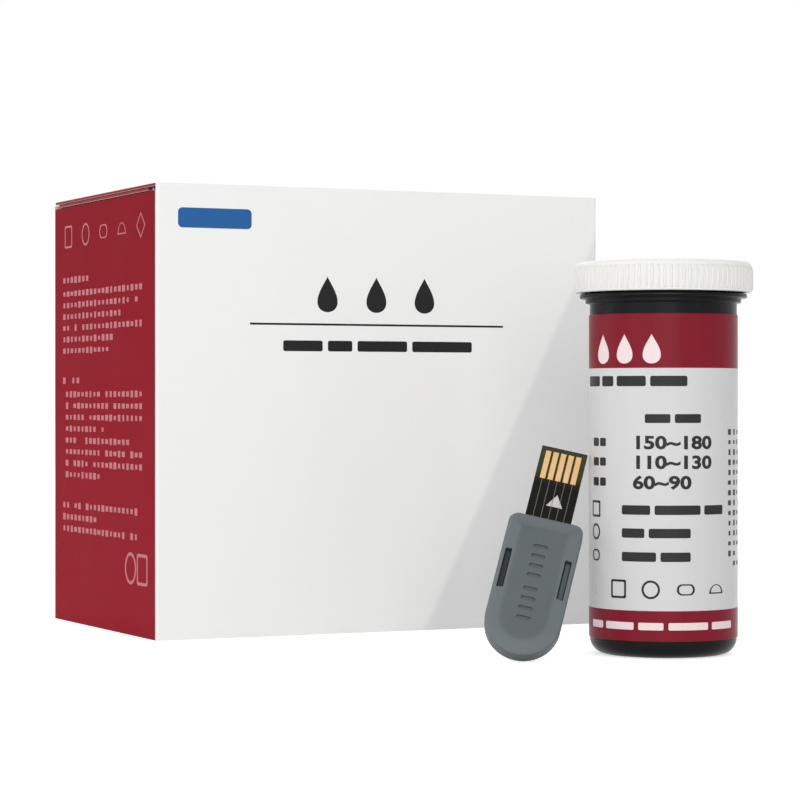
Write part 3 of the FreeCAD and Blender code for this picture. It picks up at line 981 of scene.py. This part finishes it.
class KIT_OT_cap(bpy.types.Operator):
    """Turns the cap and sets its ring of grip ribs"""
    bl_idname = "kit.cap"
    bl_label = "Vial cap"

    def execute(self, context):
        kit = context.scene.kit
        white = cap_plastic(kit)
        skirt = (cap_high.x - cap_low.x) / 2 - kit.rib_height
        rim, plug_low, top = skirt / MM, cap_low.z / MM, cap_high.z / MM
        seat, ceiling = 74.7, 79.4
        plug_inner, plug_outer, skirt_inner = 12.75, 13.65, 16.0
        dish = top - 0.12
        outline = [(0, ceiling, 0), (plug_inner, ceiling, 0.4), (plug_inner, plug_low, 0.3),
                   (plug_outer, plug_low, 0.3), (plug_outer, ceiling, 0.3), (skirt_inner, ceiling, 0.3),
                   (skirt_inner, seat, 0.3), (rim, seat, 0.35), (rim, top, 1.3), (rim - 2.6, top, 0.8),
                   (rim - 3.0, dish, 0.8), (0, dish, 0)]
        rib = linked("rib_pattern", self.rib_mesh(kit, seat + 0.5, top - 1.1))
        ribs = rib_ring_tree().grow({"Rib": rib, "Count": kit.rib_count, "Radius": skirt, "Material": white})
        bpy.data.objects.remove(rib)
        bm = bmesh.new()
        merged(bm, turned("cap_body", outline, 180))
        merged(bm, ribs, (vial_centre.x, vial_centre.y, 0))
        mesh = smoothed(mesh_of(bm, "vial_cap_ribbed"), 34)
        new_piece("vial_cap_ribbed", mesh, white, "cap", ["vial_cap"])
        return {"FINISHED"}

    def rib_mesh(self, kit, low, high):
        """A half-round rib between two levels in millimetres, which fades into the skirt at its upper end."""
        half = 0.31 * MM
        root = -0.25 * MM
        sunk = 0.02 * MM
        steps = 6
        levels = ((low, 0.3), (low + 0.25, 1.0), (high - 0.9, 1.0), (high - 0.25, 0.45), (high, 0.0))
        bm = bmesh.new()
        rings = []
        for z, share in levels:
            round_part = arc(0, 0, 1, steps, -math.pi / 2, math.pi)
            front = [(kit.rib_height * share * out - sunk, half * aside) for out, aside in round_part]
            rings.append(level_ring(bm, [(root, -half), *front, (root, half)], z * MM))
        solid(bm, rings)
        return finished_mesh(bm, "rib_pattern")


class KIT_OT_inside(bpy.types.Operator):
    """Dresses what the vial holds: strips, pads, drying beads and the card disc"""
    bl_idname = "kit.inside"
    bl_label = "Vial contents"

    def execute(self, context):
        drawn_lines = (900, 2.0, 0.5, (1.0, 1.0, 0.05))
        strip = grained("strip_white", drawn_lines, (232, 232, 226), (244, 244, 240), 0.35, 0.15, 0.008, 0.4)
        give(strip, "test_strips", "drawn_strip")
        felt = (2600, 5.0, 0.75)
        pad = grained("pad_cream", felt, (214, 196, 150), (240, 228, 192), 0.85, 0.1, 0.06, 0.8)
        give(pad, "reagent_pads", "drawn_strip_pad")
        fibre = (1900, 5.0, 0.7)
        card = grained("disc_card", fibre, (208, 204, 194), (238, 236, 228), 0.85, 0.1, 0.05, 0.8)
        give(card, "desiccant_disc")
        give(bead_fill(), "desiccant_beads")
        return {"FINISHED"}


class KIT_OT_handle(bpy.types.Operator):
    """Models the card's grey handle with its sloping margins, latch windows and grooves"""
    bl_idname = "kit.handle"
    bl_label = "Card handle"

    def outline(self, inset):
        """The handle's outline drawn in by an inset: round below, small shoulders above."""
        half = handle_width / 2 - inset
        shoulder = max(SHOULDER_RADIUS - inset, 0.5 * MM)
        level = handle_length - inset - shoulder
        middle = handle_width / 2
        side_steps = 10
        right = [(half, middle + (level - middle) * k / side_steps) for k in range(1, side_steps)]
        right += arc(half - shoulder, level, shoulder, 8, 0.0, math.pi / 2)
        left = [(-u, v) for u, v in reversed(right)]
        return arc(0, middle, half, 48, math.pi, math.pi) + right + left

    def shell_mesh(self):
        """The closed front shell: inner rings down to the seam, then outer rings up to the field."""
        seam = shell_low.z / MM
        face = shell_high.z / MM
        outer = rounded([
            (0, seam, 0), (0, seam + 1.5, 0.3), (0.5, seam + 1.9, 0.8), (3.3, face, 5.0), (5.2, face, 0)])
        inner = [(4.2, face - 1.0), (3.3, face - 1.0), (1.2, seam + 1.1), (1.2, seam)]
        bm = bmesh.new()
        solid(bm, [level_ring(bm, self.outline(inset * MM), level * MM) for inset, level in inner + outer])
        return finished_mesh(bm, "card_handle_front")

    def cutters(self):
        """Latch windows, a column of short grip grooves, and the slot for the board."""
        seam, face = shell_low.z, shell_high.z
        beyond = 1 * MM
        cuts = []
        high = handle_length - WINDOW_FROM_SHOULDER
        for x in (-WINDOW_OFFSET, WINDOW_OFFSET):
            half = WINDOW_WIDTH / 2
            window = bar(x - half, high - WINDOW_LENGTH, x + half, high, 0.25 * MM, 3)
            cuts.append((window, seam - beyond, face + beyond))
        groove_half, groove_radius, groove_depth = 0.42 * MM, 0.41 * MM, 0.4 * MM
        for v in (7.6, 9.75, 11.9, 14.05, 17.1, 19.25, 21.4, 23.55):
            groove = bar(-1.5 * MM, v * MM - groove_half, 1.5 * MM, v * MM + groove_half, groove_radius)
            cuts.append((groove, face - groove_depth, face + beyond))
        play = 0.15 * MM
        mouth = bar(-board_high.x - play, handle_length - 6 * MM, board_high.x + play, handle_length + beyond)
        cuts.append((mouth, seam - beyond, board_high.z + play))
        return cuts

    def execute(self, context):
        kit = context.scene.kit
        shell = linked("card_handle_front", self.shell_mesh())
        helpers = []
        for outline, low, high in self.cutters():
            bm = bmesh.new()
            plate(bm, outline, low, high)
            helpers.append(linked("card_cutter", finished_mesh(bm, "cutter")))
            modifier = shell.modifiers.new("cut", "BOOLEAN")
            modifier.operation = "DIFFERENCE"
            modifier.solver = "EXACT"
            modifier.object = helpers[-1]
        mesh = frozen(shell)
        for helper in helpers:
            bpy.data.objects.remove(helper)
        mesh.transform(card_matrix)
        smoothed(mesh, 28)
        grey = handle_plastic("handle_grey", kit)
        new_piece("card_handle_front", mesh, grey, "card", ["card_front_shell"])
        # The back shell's left latch tab carries painted shade.
        give(handle_plastic("handle_grey_back", kit, 0.96, left_tab_shade), "card_back_shell")
        return {"FINISHED"}


class KIT_OT_board(bpy.types.Operator):
    """Dresses the card's circuit board and adds its tracks and plug-in arrow"""
    bl_idname = "kit.board"
    bl_label = "Card circuit board"

    def execute(self, context):
        give(board_lacquer(), "card_pcb")
        wipe = (2600, 3.0, 0.6, (1.0, 1.0, 0.2))
        gold = grained("contact_gold", wipe, (204, 164, 108), (228, 194, 142), 0.38, 0.2, 0.006, 0.5,
                       more={"Metallic": 0.8})
        give(gold, "card_contacts")
        resin = (5200, 3.0)
        give(grained("chip_black", resin, (26, 26, 27), (40, 40, 42), 0.5, 0.15, 0.01, 0.5), "memory_chip")
        tan = grained("capacitor_tan", resin, (168, 128, 84), (196, 158, 110), 0.5, 0.15, 0.01, 0.5)
        give(tan, "card_capacitor")
        trace = grained("trace_print", (4000,), (86, 80, 72), (112, 106, 96), 0.4, 0.1, 0.004, 0.4, 0.12)
        bm = bmesh.new()
        half = 0.08
        for i in range(CONTACT_COUNT):
            u = (i - (CONTACT_COUNT - 1) / 2) * contact_pitch / MM
            plate(bm, bar(u - half, handle_length / MM + 0.1, u + half, contact_low.y / MM))
        print_piece("card_tracks", bm, on_board, trace, "card")
        bm = bmesh.new()
        point = board_high.y / MM - 10.5
        base = point - 2.8
        plate(bm, [(0.7, point), (-1.1, base), (2.3, base)])
        pale = ink("arrow_print", linear(188, 186, 182))
        print_piece("card_arrow", bm, on_board, pale, "card")
        return {"FINISHED"}


class KIT_OT_stage(bpy.types.Operator):
    """Sets the pale floor, the soft studio light, the white surroundings and the camera"""
    bl_idname = "kit.stage"
    bl_label = "Studio"

    def lamp(self, name, place, width, height, power):
        light = bpy.data.lights.new(name, "AREA")
        light.shape = "RECTANGLE"
        light.size = width
        light.size_y = height
        light.energy = power
        holder = linked(name, light)
        holder.location = place
        aim = Vector((0.0, -0.05, 0.05)) - Vector(place)
        holder.rotation_euler = aim.to_track_quat("-Z", "Y").to_euler()

    def floor(self):
        """A wide pale floor that takes shadows and shows nearly white."""
        reach = 6.0
        below = 0.05 * MM
        bm = bmesh.new()
        bm.faces.new(level_ring(bm, bar(-reach, -reach, reach, reach), cad_bounds[0][2] - below))
        mesh = mesh_of(bm, "floor")
        finish = Finish("floor_pale")
        pale = finish.mix(finish.noise(30), (0.78, 0.78, 0.78, 1), (0.8, 0.8, 0.8, 1))
        sockets = {"Base Color": pale, "Roughness": 0.9, "Specular IOR Level": 0.1}
        plain = finish.node("ShaderNodeBsdfPrincipled", sockets)
        lift = finish.node("ShaderNodeEmission", {"Color": WHITE, "Strength": 0.62})
        lifted = finish.node("ShaderNodeAddShader", {0: plain, 1: lift})
        mixed = finish.node("ShaderNodeMixShader", {0: finish.seen(), 1: plain, 2: lifted})
        finish.made("ShaderNodeOutputMaterial", {"Surface": mixed})
        mesh.materials.append(finish.material)
        floor = linked("floor", mesh)

    def world(self, scene):
        """White surroundings, dimmer as light than to the eye."""
        world = bpy.data.worlds.new("white_room")
        scene.world = world
        world.use_nodes = True
        graph = Graph(world.node_tree)
        ambient = graph.node("ShaderNodeBackground", {"Color": WHITE, "Strength": 0.67})
        white = graph.node("ShaderNodeBackground", {"Color": WHITE, "Strength": 1.0})
        mixed = graph.node("ShaderNodeMixShader", {0: graph.seen(), 1: ambient, 2: white})
        graph.made("ShaderNodeOutputWorld", {"Surface": mixed})

    def execute(self, context):
        scene = context.scene
        self.floor()
        self.world(scene)
        self.lamp("key_left", (-1.2, -0.56, 0.35), 0.8, 0.9, 3.4)
        self.lamp("rim_left", (-1.15, 0.62, 0.35), 0.6, 0.9, 1.8)
        self.lamp("front", (-0.5, -1.2, 0.3), 0.8, 0.7, 5.8)
        self.lamp("back", (0.5, 1.2, 0.6), 0.9, 0.9, 3.0)
        self.lamp("strip_right", (0.45, -1.15, 0.2), 0.05, 0.8, 0.35)
        data = bpy.data.cameras.new("camera")
        data.sensor_fit = "HORIZONTAL"
        data.sensor_width = SENSOR_MM
        data.lens = CAMERA_LENS_MM
        data.clip_start = 0.01
        camera = linked("camera", data)
        camera.location = CAMERA_PLACE
        camera.rotation_euler = (math.pi / 2, 0, -CAMERA_TURN)
        scene.camera = camera
        scene.view_settings.view_transform = "Standard"
        return {"FINISHED"}


class KIT_PT_panel(bpy.types.Panel):
    bl_idname = "KIT_PT_panel"
    bl_label = "Strip kit"
    bl_space_type = "VIEW_3D"
    bl_region_type = "UI"
    bl_category = "Strip kit"

    def draw(self, context):
        kit = context.scene.kit
        for name in KitSettings.__annotations__:
            self.layout.prop(kit, name)
        for step in STEPS:
            self.layout.operator(step.bl_idname)


STEPS = (KIT_OT_carton, KIT_OT_carton_print, KIT_OT_tube, KIT_OT_wrap, KIT_OT_cap, KIT_OT_inside,
         KIT_OT_handle, KIT_OT_board, KIT_OT_stage)
CLASSES = (KitSettings, *STEPS, KIT_PT_panel)


def register():
    for item in CLASSES:
        bpy.utils.register_class(item)
    bpy.types.Scene.kit = PointerProperty(type=KitSettings)


def unregister():
    del bpy.types.Scene.kit
    for item in reversed(CLASSES):
        bpy.utils.unregister_class(item)


def main():
    register()
    bpy.ops.kit.carton()
    bpy.ops.kit.carton_print()
    bpy.ops.kit.tube()
    bpy.ops.kit.wrap()
    bpy.ops.kit.cap()
    bpy.ops.kit.inside()
    bpy.ops.kit.handle()
    bpy.ops.kit.board()
    bpy.ops.kit.stage()


if __name__ == "__main__":
    main()
